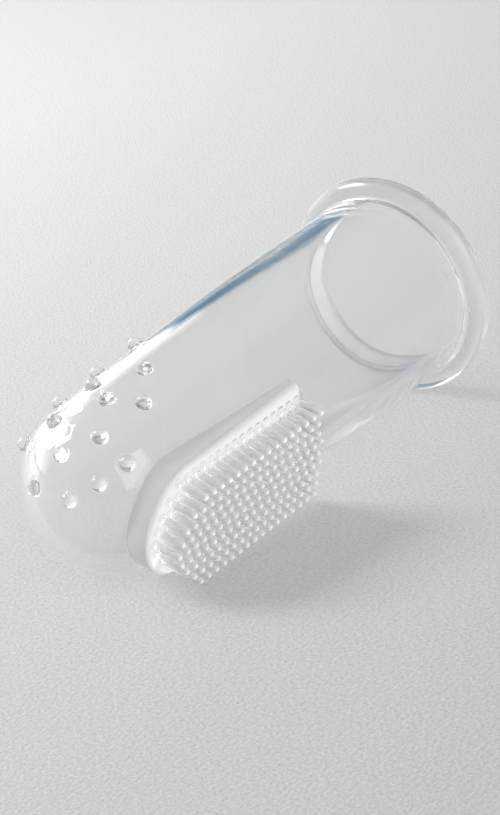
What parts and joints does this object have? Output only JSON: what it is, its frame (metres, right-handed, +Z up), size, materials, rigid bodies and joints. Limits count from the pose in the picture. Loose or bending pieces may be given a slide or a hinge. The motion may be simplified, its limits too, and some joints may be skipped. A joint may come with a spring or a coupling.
{
  "type": "finger toothbrush",
  "caption": "Clear silicone sleeve worn on one finger, with a rolled rim, a domed tip, a raised field of short round bristles on one side and small massage nubs scattered over the tip.",
  "frame": {"origin": "middle of the footprint's box on the table that the brush lies on", "axes": "+X towards the open mouth, along the brush's length; +Y away from the bristles; +Z up from the table. The sleeve's own axis rises 4.5 degrees towards the mouth."},
  "size_m": [0.0588, 0.026, 0.0249],
  "materials": {
    "sleeve_silicone": "clear glossy silicone",
    "plinth_silicone": "clear glossy silicone",
    "bristle_silicone": "clear silicone, milky where the bristles crowd",
    "nub_silicone": "clear glossy silicone"
  },
  "bodies": {
    "root": {"finger_sleeve": "sleeve_silicone", "rolled_rim": "sleeve_silicone", "brush_plinth": "plinth_silicone", "bristle_row_a": "bristle_silicone", "bristle_row_b": "bristle_silicone", "bristle_row_c": "bristle_silicone", "bristle_row_d": "bristle_silicone", "bristle_row_e": "bristle_silicone", "bristle_row_f": "bristle_silicone", "bristle_row_g": "bristle_silicone", "bristle_row_h": "bristle_silicone", "bristle_row_i": "bristle_silicone", "tip_nubs": "nub_silicone", "dome_nubs_inner": "nub_silicone", "dome_nubs_outer": "nub_silicone", "shoulder_nubs_front": "nub_silicone", "shoulder_nubs_rear": "nub_silicone", "barrel_nubs_front": "nub_silicone", "barrel_nubs_rear": "nub_silicone"}
  },
  "joints": []
}
